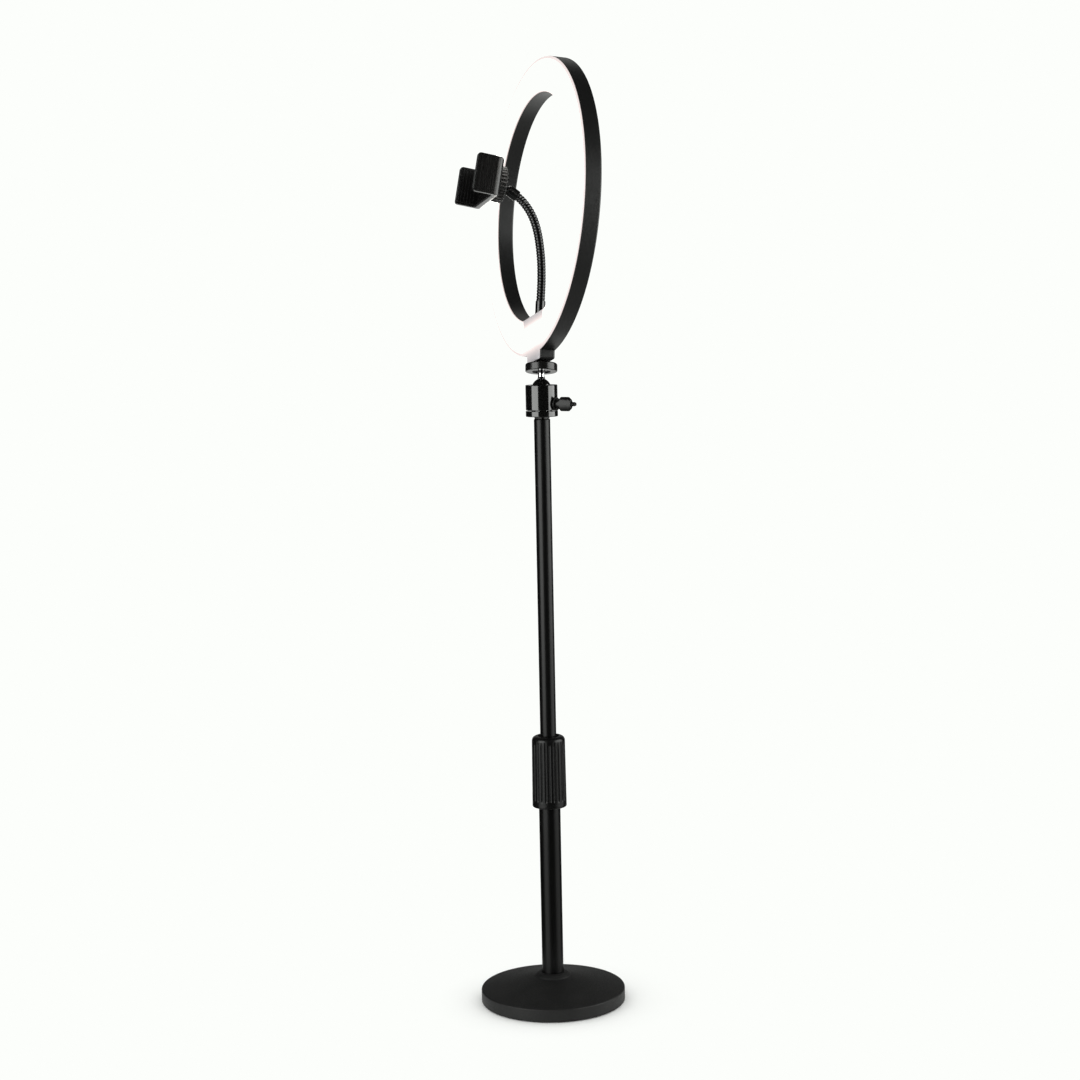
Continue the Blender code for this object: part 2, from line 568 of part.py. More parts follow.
def build_holder():
    ball = HOLDER_BALL_R + GAP
    bowl = [(ball * math.sin(math.radians(a)), -ball * math.cos(math.radians(a)))
            for a in (109, 90, 65, 40, 20)]
    piece("socket_liner", revolve([
        (0, -7.2), (8.2, -7.2), (8.2, bowl[0][1]), *bowl, (0, -ball)], 16), "nylon",
        HOLDER_AXIS)

    front, back = BAR_Y
    body = piece("clamp_body", bar(-JAW_X + 2, BAR_END, front + BAR_STEP, back, *JAW_Z, 1.0),
                 "plastic_black", HOLDER)
    rest_face = bar(-JAW_X + JAW_T + 2.1, BAR_END - 1, front, back - 3, JAW_Z[0] + 1,
                    JAW_Z[1] - 1, 0.2)
    join(body, rest_face, HOLDER)
    join(body, jaw(-JAW_X, -JAW_X + JAW_T), HOLDER)
    join(body, revolve([(0, -11.0), (11.0, -11.0), (11.0, 1.4), (0, 1.4)], 24), HOLDER_AXIS)
    cut(body, revolve([(0, -7.5), (8.5, -7.5), (8.5, 4.0), (0, 4.0)], 24), HOLDER_AXIS)
    cut(body, bar(-26.0, BAR_END + 4, -12.1, -8.7, -11.0, 9.4, 0.3), HOLDER)
    cut(body, revolve([(0, -26.0), (1.9, -26.0), (1.9, 30.0), (0, 30.0)], 8),
        HOLDER @ shift(y=-10.4, z=12.6) @ turn(90, "Y"))

    slider = piece("sliding_jaw", jaw(JAW_X - JAW_T, JAW_X), "plastic_black", HOLDER)
    join(slider, bar(BAR_END + GAP, JAW_X - 2, *BAR_Y, *JAW_Z, 1.0), HOLDER)
    join(slider, bar(-24.0, BAR_END + 4, -11.8, -9.0, -10.7, 9.1, 0.3), HOLDER)

    for name, x0, x1 in (("fixed_pad", -JAW_X + JAW_T + GAP, -JAW_X + JAW_T + 1.8),
                         ("sliding_pad", JAW_X - JAW_T - 1.8, JAW_X - JAW_T - GAP)):
        piece(name, bar(x0, x1, -30.8, -14.6, JAW_Z[0] + 1.6, JAW_Z[1] - 1.6, 2.4),
              "rubber_black", HOLDER)
    coils = []
    for n in range(16):
        coils.append((1.45 if n % 2 else 1.1, -22.0 + 2.8 * n))
    piece("clamp_spring", revolve([(0, coils[0][1]), *coils, (0, coils[-1][1])], 8), "steel",
          HOLDER @ shift(y=-10.4, z=12.6) @ turn(90, "Y"))
    piece("collar_nut", revolve([
        (11.3, -6.8), (13.2, -6.8), (14.0, -6.0, 0.7), (14.0, 1.2, 0.7), (13.0, 2.4),
        (9.0, 2.4), (9.0, 1.8), (11.3, 1.8)], 48, flutes=True), "plastic_black", HOLDER_AXIS)


build_foot()
build_stand()
build_head()
build_ring()
build_arm()
build_holder()
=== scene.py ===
"""Looks of a ring light on a telescopic desk stand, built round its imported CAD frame.

Shapes are written in millimetres and turned into metres by MM.  Each piece is
modelled in the frame of the joint or part that it belongs to, so its place comes
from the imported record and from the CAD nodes' boxes.
"""
import json
import math

import bmesh
import bpy
import numpy as np
from mathutils import Matrix, Vector


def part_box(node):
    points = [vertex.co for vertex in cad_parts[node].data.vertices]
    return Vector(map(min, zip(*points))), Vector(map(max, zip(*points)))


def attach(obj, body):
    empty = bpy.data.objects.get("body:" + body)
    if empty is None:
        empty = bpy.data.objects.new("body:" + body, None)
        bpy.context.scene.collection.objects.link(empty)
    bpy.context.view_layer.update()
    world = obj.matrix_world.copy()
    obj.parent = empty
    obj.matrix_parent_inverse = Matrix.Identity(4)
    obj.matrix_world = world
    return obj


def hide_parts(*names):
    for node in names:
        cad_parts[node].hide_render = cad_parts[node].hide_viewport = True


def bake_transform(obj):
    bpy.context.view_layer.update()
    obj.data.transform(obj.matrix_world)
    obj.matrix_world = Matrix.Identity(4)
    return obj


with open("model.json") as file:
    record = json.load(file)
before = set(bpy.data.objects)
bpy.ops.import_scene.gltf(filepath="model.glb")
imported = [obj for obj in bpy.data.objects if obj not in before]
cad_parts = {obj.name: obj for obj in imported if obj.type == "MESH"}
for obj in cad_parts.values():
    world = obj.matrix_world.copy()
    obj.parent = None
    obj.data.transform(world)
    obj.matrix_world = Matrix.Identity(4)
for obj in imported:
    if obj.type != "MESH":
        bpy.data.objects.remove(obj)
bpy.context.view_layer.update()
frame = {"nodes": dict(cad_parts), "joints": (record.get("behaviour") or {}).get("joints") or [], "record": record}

MM = 0.001
GAP = 0.3                      # clearance between pieces that touch
ROUND = 160                    # sides of a large round piece
EDGE_STEPS = 4                 # faces across the rounded edge of a moulded piece
WELD = 0.002                   # points nearer than this are one after a cut or join

RECORD = frame["record"]
JOINTS = {joint["name"]: joint for joint in frame["joints"]}
SLOTS = {part["node"]: part["material_slot"] for part in RECORD["subparts"]}
BODIES = {node: body for body, nodes in RECORD["behaviour"]["bodies"].items()
          for node in nodes}


# ---------------------------------------------------------------- frames
def axis_of(joint):
    return Vector(JOINTS[joint]["axis"]).normalized()


def point_of(joint):
    return Vector(JOINTS[joint]["pos_m"])


def basis(x, y, z, origin):
    """Matrix of a frame with these axes, placed at origin."""
    matrix = Matrix((x, y, z)).transposed().to_4x4()
    matrix.translation = origin
    return matrix


def shift(x=0.0, y=0.0, z=0.0):
    return Matrix.Translation((x * MM, y * MM, z * MM))


def turn(degrees, axis):
    return Matrix.Rotation(math.radians(degrees), 4, axis)


def along(direction, origin, side):
    """Frame with z along a direction and x as near as it can be to side."""
    y = direction.cross(side).normalized()
    return basis(y.cross(direction), y, direction, origin)


UPRIGHT = Matrix.Identity(4)
up, across = axis_of("ring_turn"), axis_of("arm_bend_1")
back = up.cross(across)
STEM = basis(across, back, up, point_of("ball_tilt"))
RING_UP = 159.4                # ring centre above the ball
RING = basis(across, -up, back, STEM @ Vector((0, 0, RING_UP * MM)))
KNOB = along(axis_of("knob_turn"), Vector((0, 0, point_of("knob_turn").z)), Vector((0, 0, -1)))
FERRULE = along(axis_of("arm_turn"), point_of("arm_turn"), across)
ARM = [point_of(f"arm_bend_{k}") for k in range(1, 7)]
ARM_END = point_of("holder_tilt")
SLEEVE = along((ARM_END - ARM[-1]).normalized(), ARM[-1], across)
clamp_x, clamp_y = axis_of("jaw_slide"), axis_of("holder_roll")
HOLDER = basis(clamp_x, clamp_y, clamp_x.cross(clamp_y), point_of("holder_roll"))
HOLDER_AXIS = HOLDER @ turn(-90, "X")


# ---------------------------------------------------------------- finishes
class Finish:
    """Node graph of one procedural material, in the local metres of its piece."""

    def __init__(self, name, **constants):
        self.material = bpy.data.materials.new(name)
        self.material.use_nodes = True
        self.tree = self.material.node_tree
        self.shader = self.tree.nodes["Principled BSDF"]
        for socket, value in constants.items():
            self.shader.inputs[socket.replace("_", " ")].default_value = value
        self.place = self.tree.nodes.new("ShaderNodeTexCoord").outputs["Object"]

    def node(self, kind, inputs, **settings):
        made = self.tree.nodes.new("ShaderNode" + kind)
        for key, value in settings.items():
            setattr(made, key, value)
        for socket, value in inputs.items():
            if isinstance(value, bpy.types.NodeSocket):
                self.tree.links.new(value, made.inputs[socket])
            else:
                made.inputs[socket].default_value = value
        return made

    def noise(self, size, detail=3.0, stretch=(1, 1, 1)):
        """Noise with a grain of size mm, drawn out along an axis by stretch."""
        scale = [1 / (size * MM * share) for share in stretch]
        place = self.node("Mapping", {"Vector": self.place, "Scale": scale}).outputs[0]
        made = self.node("TexNoise", {"Vector": place, "Scale": 1.0, "Detail": detail})
        return made.outputs[0]

    def times(self, a, b):
        return self.node("Math", {0: a, 1: b}, operation="MULTIPLY").outputs[0]

    def cells(self, size):
        made = self.node("TexVoronoi", {"Vector": self.place, "Scale": 1 / (size * MM)})
        return made.outputs["Distance"]

    def spread(self, value, low, high, source=(0.3, 0.7)):
        """A value remapped from its source range to low..high."""
        made = self.node("MapRange", {"Value": value, "From Min": source[0],
                                      "From Max": source[1], "To Min": low, "To Max": high})
        return made.outputs[0]

    def edges(self, width=0.35):
        """0 on even ground, rising to 1 within a width in mm of worn edges."""
        eased = self.node("Bevel", {"Radius": width * MM}, samples=4).outputs[0]
        plain = self.node("NewGeometry", {}).outputs["Normal"]
        even = self.node("VectorMath", {0: eased, 1: plain}, operation="DOT_PRODUCT")
        return self.spread(even.outputs["Value"], 1.0, 0.0, (0.72, 0.99))

    def blend(self, factor, a, b):
        made = self.node("Mix", {"Factor": factor}, data_type="RGBA")
        for socket, value in ((6, a), (7, b)):
            if isinstance(value, bpy.types.NodeSocket):
                self.tree.links.new(value, made.inputs[socket])
            else:
                made.inputs[socket].default_value = (*value, 1.0)
        return made.outputs[2]

    def colour(self, source):
        self.tree.links.new(source, self.shader.inputs["Base Color"])

    def rough(self, source):
        self.tree.links.new(source, self.shader.inputs["Roughness"])

    def bump(self, *layers):
        """Relief from (height, depth in mm) layers, the coarsest first."""
        normal = None
        for height, depth in layers:
            inputs = {"Height": height, "Strength": 1.0, "Distance": depth * MM}
            if normal is not None:
                inputs["Normal"] = normal
            normal = self.node("Bump", inputs).outputs[0]
        self.tree.links.new(normal, self.shader.inputs["Normal"])


def grey(value, warm=0.0):
    return (value * (1 + warm), value, value * (1 - warm))


def cast_black():
    """Powder coat on an iron casting: pebbled, matte, rubbed at the rim."""
    look = Finish("cast_black", Specular_IOR_Level=0.32)
    pebble, fine, cloud = look.noise(1.1, 4), look.noise(0.4), look.noise(14.0)
    base = look.blend(look.spread(cloud, 0, 1), grey(0.0045), grey(0.0080, 0.03))
    specks = look.spread(fine, 0.0, 0.5, (0.58, 0.72))
    base = look.blend(specks, base, grey(0.030))
    look.colour(look.blend(look.edges(), base, grey(0.020)))
    look.rough(look.spread(pebble, 0.46, 0.64))
    look.bump((pebble, 0.10), (fine, 0.05))
    return look.material


def tube_black():
    """Satin paint on drawn tube, with faint draw lines along its length."""
    look = Finish("tube_black", Specular_IOR_Level=0.30)
    peel, lines = look.noise(1.6), look.noise(0.5, 2, (1, 1, 90))
    cloud = look.noise(30.0, 3, (1, 1, 3))
    base = look.blend(look.spread(cloud, 0, 1), grey(0.0012), grey(0.0024, 0.03))
    look.colour(look.blend(look.edges(), base, grey(0.02)))
    look.rough(look.spread(lines, 0.27, 0.33))
    look.bump((peel, 0.006), (lines, 0.003))
    return look.material


def head_black():
    """Polished black lacquer over turned aluminium."""
    look = Finish("head_black", Specular_IOR_Level=0.5, Coat_Weight=0.7, Coat_Roughness=0.04)
    rings, cloud = look.noise(0.25, 2, (60, 60, 1)), look.noise(7.0)
    base = look.blend(look.spread(cloud, 0, 1), grey(0.0022), grey(0.0036))
    look.colour(look.blend(look.edges(), base, grey(0.03)))
    look.rough(look.spread(rings, 0.11, 0.17))
    look.bump((look.noise(2.4), 0.010), (rings, 0.0015))
    return look.material


def plastic_black():
    """Injection-moulded case plastic with a fine spark-eroded grain."""
    look = Finish("plastic_black", Specular_IOR_Level=0.65)
    grain, fine, cloud = look.noise(0.7, 4), look.noise(0.28), look.noise(26.0)
    base = look.blend(look.spread(cloud, 0, 1), grey(0.0035, 0.04), grey(0.0062))
    look.colour(look.blend(look.edges(), base, grey(0.022)))
    look.rough(look.spread(grain, 0.30, 0.40))
    look.bump((grain, 0.012), (fine, 0.006))
    return look.material


def clamp_black():
    """Smoother plastic of the phone holder and the lock wheel, with faint flow lines."""
    look = Finish("clamp_black", Specular_IOR_Level=0.55)
    flow, cloud = look.noise(1.4, 3, (1, 1, 40)), look.noise(9.0)
    base = look.blend(look.spread(cloud, 0, 1), grey(0.0025, 0.06), grey(0.0048, 0.04))
    look.colour(look.blend(look.edges(), base, grey(0.020, 0.05)))
    look.rough(look.spread(flow, 0.20, 0.30))
    look.bump((look.noise(0.7), 0.006), (flow, 0.006))
    return look.material


def knob_black():
    """Gloss plastic of the wing knob and the arm's sleeve, a little orange-peeled."""
    look = Finish("knob_black", Specular_IOR_Level=0.25)
    peel, cloud = look.noise(1.2), look.noise(5.0)
    base = look.blend(look.spread(cloud, 0, 1), grey(0.0035), grey(0.0060))
    look.colour(look.blend(look.edges(), base, grey(0.02)))
    look.rough(look.spread(cloud, 0.20, 0.28))
    look.bump((peel, 0.020))
    return look.material


def rubber_black():
    """Matte rubber with pores and a chalky bloom on its high spots."""
    look = Finish("rubber_black", Specular_IOR_Level=0.30)
    pores, grain, cloud = look.cells(0.5), look.noise(0.8, 4), look.noise(9.0)
    base = look.blend(look.spread(cloud, 0, 1), grey(0.0020), grey(0.0038, 0.02))
    look.colour(look.blend(look.edges(), base, grey(0.014)))
    look.rough(look.spread(grain, 0.25, 0.35))
    look.bump((grain, 0.020), (pores, 0.010))
    return look.material


def hose_black():
    """Black enamel on a wound metal hose, burnished on its crests."""
    look = Finish("hose_black", Specular_IOR_Level=0.7)
    scuff, cloud = look.noise(0.6, 4), look.noise(6.0)
    base = look.blend(look.spread(cloud, 0, 1), grey(0.0012), grey(0.0024))
    worn = look.times(look.edges(0.5), look.spread(scuff, 0.2, 1.0))
    look.colour(look.blend(worn, base, grey(0.012, 0.05)))
    look.rough(look.spread(scuff, 0.10, 0.18))
    look.bump((scuff, 0.004))
    return look.material


def metal(name, bright, dull, fresh, worn):
    """Bare metal with turning marks; fresh and worn are its roughness range."""
    look = Finish(name, Metallic=1.0)
    marks, cloud = look.noise(0.2, 2, (40, 40, 1)), look.noise(4.0)
    look.colour(look.blend(look.spread(cloud, 0, 1), bright, dull))
    look.rough(look.spread(marks, fresh, worn))
    look.bump((marks, 0.002))
    return look.material


def nylon():
    """Unfilled moulded nylon: waxy, faintly mottled."""
    look = Finish("nylon", Subsurface_Weight=0.1, Subsurface_Scale=0.002)
    cloud, grain = look.noise(3.0), look.noise(0.5)
    look.colour(look.blend(look.spread(cloud, 0, 1), (0.78, 0.77, 0.72), (0.70, 0.69, 0.65)))
    look.rough(look.spread(grain, 0.40, 0.52))
    look.bump((grain, 0.01))
    return look.material


GLOW = 5.0                     # emission of the lit ring
# Where the glow fades, in metres in the ring's frame (y is down), from full to faded or back
PAD_EDGE = (0.024, 0.031)      # sideways, past the pad that the arm stands on
PAD_FADE = (0.0940, 0.1180)    # down, from the pad to the full glow below it
PAD_HALF = (0.0, 0.05)         # down, so that the top of the ring has no pad
FOOT_FADE = (0.1070, 0.1420)   # down, along the foot
RIM_FADE = (0.1255, 0.1280)    # outwards, two steps to the outer rim
RIM_END = (0.1280, 0.1300)
INNER_FADE = (0.0996, 0.1030)  # outwards, from the inner rim
LIT_RIM = (1.0, 0.76, 0.70)    # light that leaks through the rims
LIT_FACE = (1.0, 0.965, 0.93)


def diffuser():
    """Opal cover of the ring: lit from behind, dimmer at its rims, its pad and its foot.

    It is drawn in the ring's frame, on pieces and CAD nodes whose own frame is the world's.
    """
    look = Finish("diffuser", Roughness=0.4)
    to_ring = RING.inverted()
    place = look.node("Mapping", {"Vector": look.place, "Location": to_ring.translation,
                                  "Rotation": to_ring.to_euler()}).outputs[0]
    flat = look.node("VectorMath", {0: place, 1: (1, 1, 0)}, operation="MULTIPLY")
    radius = look.node("VectorMath", {0: flat.outputs[0]}, operation="LENGTH").outputs["Value"]
    part = look.node("SeparateXYZ", {0: place})
    sideways = look.node("Math", {0: part.outputs["X"]}, operation="ABSOLUTE").outputs[0]
    over_pad = look.times(look.spread(sideways, 1, 0, PAD_EDGE),
                          look.spread(part.outputs["Y"], 0.8, 0, PAD_FADE))
    over_pad = look.times(over_pad, look.spread(part.outputs["Y"], 0, 1, PAD_HALF))
    lit = look.spread(over_pad, 1.0, 0.0, (0, 1))
    for shade in (look.spread(part.outputs["Y"], 1.0, 0.0, FOOT_FADE),
                  look.spread(radius, 1.0, 0.45, RIM_FADE),
                  look.spread(radius, 1.0, 0.37, RIM_END),
                  look.spread(radius, 0.42, 1.0, INNER_FADE)):
        lit = look.node("Math", {0: lit, 1: shade}, operation="MINIMUM").outputs[0]
    look.colour(look.blend(look.spread(look.noise(20.0), 0, 1), (0.57, 0.55, 0.58),
                           (0.53, 0.51, 0.54)))
    power = look.node("Math", {0: lit, 1: 3.0}, operation="POWER").outputs[0]
    strength = look.times(power, look.spread(look.noise(12.0), 0.94 * GLOW, GLOW))
    look.tree.links.new(strength, look.shader.inputs["Emission Strength"])
    warmth = look.blend(look.spread(lit, 0, 1, (0.45, 0.8)), LIT_RIM, LIT_FACE)
    look.tree.links.new(warmth, look.shader.inputs["Emission Color"])
    look.bump((look.noise(0.6), 0.006))
    return look.material


def guide():
    """Clear acrylic light guide with a dot-printed back."""
    look = Finish("guide", IOR=1.49)
    dots = look.spread(look.cells(1.6), 1.0, 0.0, (0.2, 0.35))
    look.colour(look.blend(dots, (0.88, 0.90, 0.92), (0.97, 0.97, 0.97)))
    look.rough(look.spread(dots, 0.08, 0.45, (0, 1)))
    return look.material


def board(name, mask, copper):
    """Circuit board: solder mask over tracks that show as faint ridges."""
    look = Finish(name, Specular_IOR_Level=0.5)
    tracks = look.node("TexWave", {"Vector": look.place, "Scale": 160.0, "Distortion": 6.0,
                                   "Detail": 2.0}).outputs["Fac"]
    lines = look.spread(tracks, 0.0, 1.0, (0.45, 0.55))
    look.colour(look.blend(lines, mask, copper))
    look.rough(look.spread(lines, 0.42, 0.30, (0, 1)))
    look.bump((lines, 0.03))
    return look.material


FINISHES = {
    "cast_black": cast_black(),
    "tube_black": tube_black(),
    "head_black": head_black(),
    "plastic_black": plastic_black(),
    "clamp_black": clamp_black(),
    "knob_black": knob_black(),
    "rubber_black": rubber_black(),
    "hose_black": hose_black(),
    "chrome": metal("chrome", (0.86, 0.85, 0.85), (0.78, 0.78, 0.79), 0.03, 0.09),
    "steel": metal("steel", (0.60, 0.60, 0.61), (0.48, 0.48, 0.50), 0.22, 0.38),
    "brass": metal("brass", (0.72, 0.52, 0.22), (0.60, 0.42, 0.17), 0.20, 0.36),
    "nylon": nylon(),
    "diffuser": diffuser(),
    "guide": guide(),
    "board": board("board", (0.84, 0.84, 0.82), (0.78, 0.76, 0.70)),
    "board_green": board("board_green", (0.015, 0.11, 0.045), (0.04, 0.22, 0.09)),
}


# ---------------------------------------------------------------- mesh tools
def fillet(points, steps):
    """Outline with rounded corners.  A point is (x, y[, radius])."""
    outline = []
    for i, point in enumerate(points):
        here = Vector(point[:2])
        if len(point) < 3:
            outline.append(here)
            continue
        before = Vector(points[i - 1][:2]) - here
        after = Vector(points[(i + 1) % len(points)][:2]) - here
        half = before.angle(after) / 2
        reach = min(point[2] / math.tan(half), 0.8 * before.length, 0.8 * after.length)
        middle = (before.normalized() + after.normalized()).normalized()
        centre = here + middle * reach / math.cos(half)
        a = here + before.normalized() * reach - centre
        b = here + after.normalized() * reach - centre
        sweep = math.pi - 2 * half
        for k in range(steps + 1):
            share = k / steps
            spoke = (a * math.sin((1 - share) * sweep) + b * math.sin(share * sweep))
            outline.append(centre + spoke / math.sin(sweep))
    return outline


def skin(bm, ring, after):
    """Faces between two rings, either of which may be a single point."""
    if len(ring) == 1 and len(after) == 1:
        return
    count = max(len(ring), len(after))
    for i in range(count):
        j = (i + 1) % count
        if len(ring) == 1:
            bm.faces.new((ring[0], after[i], after[j]))
        elif len(after) == 1:
            bm.faces.new((ring[i], after[0], ring[j]))
        else:
            bm.faces.new((ring[i], after[i], after[j], ring[j]))


def lathe(profile, sides, reach=None):
    """Closed body of revolution; reach(angle, radius, height) may shape its radius."""
    bm = bmesh.new()
    rings = []
    for radius, height in profile:
        if radius < 1e-6:
            rings.append([bm.verts.new((0, 0, height * MM))])
            continue
        ring = []
        for i in range(sides):
            angle = math.tau * i / sides
            r = (reach(angle, radius, height) if reach else radius) * MM
            ring.append(bm.verts.new((r * math.cos(angle), r * math.sin(angle), height * MM)))
        rings.append(ring)
    for k, ring in enumerate(rings):
        skin(bm, ring, rings[(k + 1) % len(rings)])
    return bm


def turned(points, sides, steps=5, reach=None):
    """Body of revolution from a profile with rounded corners."""
    return lathe([tuple(p) for p in fillet(points, steps)], sides, reach)


def moulded(outline, low, high):
    """Prism whose edges are rounded one by one.

    An outline point is (x, y, radius of its upright edge, radius of the top and bottom
    edges that run from it to the next point).
    """
    bm = bmesh.new()
    weight = bm.edges.layers.float.new("bevel_weight_edge")
    widest = max(max(point[2:]) for point in outline)
    bottom = [bm.verts.new((p[0] * MM, p[1] * MM, low * MM)) for p in outline]
    top = [bm.verts.new((p[0] * MM, p[1] * MM, high * MM)) for p in outline]
    bm.faces.new(bottom)
    bm.faces.new(top)
    skin(bm, bottom, top)
    for i, point in enumerate(outline):
        j = (i + 1) % len(outline)
        bm.edges.get((bottom[i], top[i]))[weight] = point[2] / widest
        bm.edges.get((bottom[i], bottom[j]))[weight] = point[3] / widest
        bm.edges.get((top[i], top[j]))[weight] = point[3] / widest
    cage = loose("cage", bm)
    step = cage.modifiers.new("round", "BEVEL")
    step.limit_method = "WEIGHT"
    step.width = widest * MM
    step.segments = EDGE_STEPS
    step.miter_outer = "MITER_ARC"
    result = bmesh.new()
    result.from_mesh(baked(cage))
    bpy.data.objects.remove(cage, do_unlink=True)
    return result


def loose(name, bm, place=UPRIGHT):
    """An object from a bmesh, with its faces pointing out."""
    bmesh.ops.recalc_face_normals(bm, faces=bm.faces)
    mesh = bpy.data.meshes.new(name)
    bm.to_mesh(mesh)
    bm.free()
    obj = bpy.data.objects.new(name, mesh)
    obj.matrix_world = place
    bpy.context.scene.collection.objects.link(obj)
    return obj


def baked(obj):
    """Mesh of an object with its modifiers applied."""
    bpy.context.view_layer.update()
    graph = bpy.context.evaluated_depsgraph_get()
    return bpy.data.meshes.new_from_object(obj.evaluated_get(graph))


def combine(obj, bm, place, how):
    """Boolean step with a bmesh placed by a matrix; slivers that it leaves are welded."""
    tool = loose("tool", bm, place)
    step = obj.modifiers.new("step", "BOOLEAN")
    step.operation = how
    step.solver = "EXACT"
    step.object = tool
    mesh = baked(obj)
    obj.modifiers.remove(step)
    bm = bmesh.new()
    bm.from_mesh(mesh)
    bmesh.ops.remove_doubles(bm, verts=bm.verts, dist=WELD * MM)
    bmesh.ops.dissolve_degenerate(bm, edges=bm.edges, dist=WELD * MM)
    bm.to_mesh(mesh)
    bm.free()
    obj.data = mesh
    bpy.data.objects.remove(tool, do_unlink=True)


def cut(obj, bm, place):
    combine(obj, bm, place, "DIFFERENCE")


def join(obj, bm, place):
    combine(obj, bm, place, "UNION")


def smooth(obj, angle):
    """Smooth shading that keeps sharp edges sharp and flat faces flat."""
    obj.data.shade_smooth()
    obj.data.set_sharp_from_angle(angle=math.radians(angle))
    step = obj.modifiers.new("flat_faces", "WEIGHTED_NORMAL")
    step.keep_sharp = True
    return obj


def settle(obj):
    """Moves an object's frame to the world's, as the CAD nodes have it."""
    obj.data.transform(obj.matrix_world)
    obj.matrix_world = UPRIGHT


def stand_for(obj, *nodes, finish=None, angle=34):
    """Finish a piece and let it take the place of CAD nodes that share its body."""
    slot = SLOTS[nodes[0]]
    obj.data.materials.clear()
    obj.data.materials.append(finish or FINISHES[slot])
    smooth(obj, angle)
    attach(obj, BODIES[nodes[0]])
    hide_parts(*nodes)
    return obj


def radius_of(node):
    """Half the width of an upright round node, in mm."""
    low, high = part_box(node)
    return (high.x - low.x) / 2 / MM


def heights_of(node):
    low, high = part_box(node)
    return low.z / MM, high.z / MM


# ---------------------------------------------------------------- foot
def make_foot():
    outer, bore = radius_of("base_plate"), radius_of("lower_tube") + GAP
    pad = radius_of("base_pad")
    low, crown = heights_of("base_plate")
    ledge = 12.0               # seat of the tube inside the casting
    casting = turned([
        (4.3, ledge), (4.3, 8.2), (10.5, 8.2), (10.5, 2.3), (pad + GAP, 2.3, 0.3),
        (pad + GAP, low, 0.3), (outer, low, 0.9), (outer, 11.9, 1.5), (40.0, 17.0, 200),
        (16.6, 22.6, 1.4), (15.4, 23.8, 1.0), (13.0, 25.4, 1.6), (bore + 0.5, crown, 0.4),
        (bore, crown - 0.3), (bore, ledge)], ROUND, 6)
    stand_for(loose("foot_casting", casting), "base_plate")
    grooves = [(0, 0)]
    for middle in (14, 24, 34, 44, 54):
        grooves += [(middle - 1.0, 0), (middle - 0.6, 0.6), (middle + 0.6, 0.6), (middle + 1.0, 0)]
    profile = grooves + [(pad, 0, 0.6), (pad, 2.0, 0.2), (0, 2.0)]
    stand_for(loose("foot_pad", turned(profile, ROUND, 4)), "base_pad")


# ---------------------------------------------------------------- stand
def make_tube(name, node, wall):
    outer = radius_of(node)
    low, high = heights_of(node)
    profile = [(outer - wall, low), (outer, low, 0.35), (outer, high, 0.9), (outer - wall, high)]
    body = turned(profile, 96, 4)
    stand_for(loose(name, body), node)


FLUTES = 24
FLUTE_DEEP = 0.55
GRIP_BAND = 5.4                # plain band below the flutes


def make_grip():
    outer = radius_of("clutch_grip")
    low, high = heights_of("clutch_grip")
    taper = 0.55               # the top is this much slimmer
    throat, tube = 7.75, radius_of("lower_tube") + 0.4

    def fluted(angle, radius, height):
        """Ribs that fade into the plain band below and the shoulder above."""
        if radius < outer - 3.2:
            return radius
        share = min(max((height - low - GRIP_BAND) / 1.6, 0), 1)
        share *= min(max((high - 4.8 - height) / 1.8, 0), 1)
        return radius - FLUTE_DEEP * share * max(math.cos(FLUTES * angle), 0) ** 1.5

    def wall(height):
        return outer - taper * (height - low) / (high - low)

    steps = [low + GRIP_BAND + 0.2 * k for k in range(9)]
    steps += [low + GRIP_BAND + 2.5 + 3.0 * k for k in range(16)]
    steps += [high - 8.6 + 0.2 * k for k in range(11)]
    profile = [(tube, low), (outer, low, 1.1), (outer, low + 2.0)]
    profile += [(wall(z), z) for z in steps]
    profile += [(wall(high), high, 4.2), (9.4, high, 1.0),
                (8.9, high - 2.4, 0.4), (throat, high - 2.4), (throat, high - 5.4),
                (11.9, high - 13.9), (11.9, low + 4.5), (tube, low + 3.0)]
    stand_for(loose("grip_sleeve", turned(profile, FLUTES * 12, 7, fluted)), "clutch_grip",
              angle=50)


# ---------------------------------------------------------------- ball head
BALL_R = 8.3
STEM_R, STUD_R = 3.0, 3.1
DISC_R, DISC_Z = 13.9, (14.2, 22.2)
DISC_NOTCHES = 52
WING_FOOT = 16.0               # where the wings of the knob start along its axis
WING_THICK, WING_TAPER = 3.9, 0.12  # half thickness there, and what it loses per mm


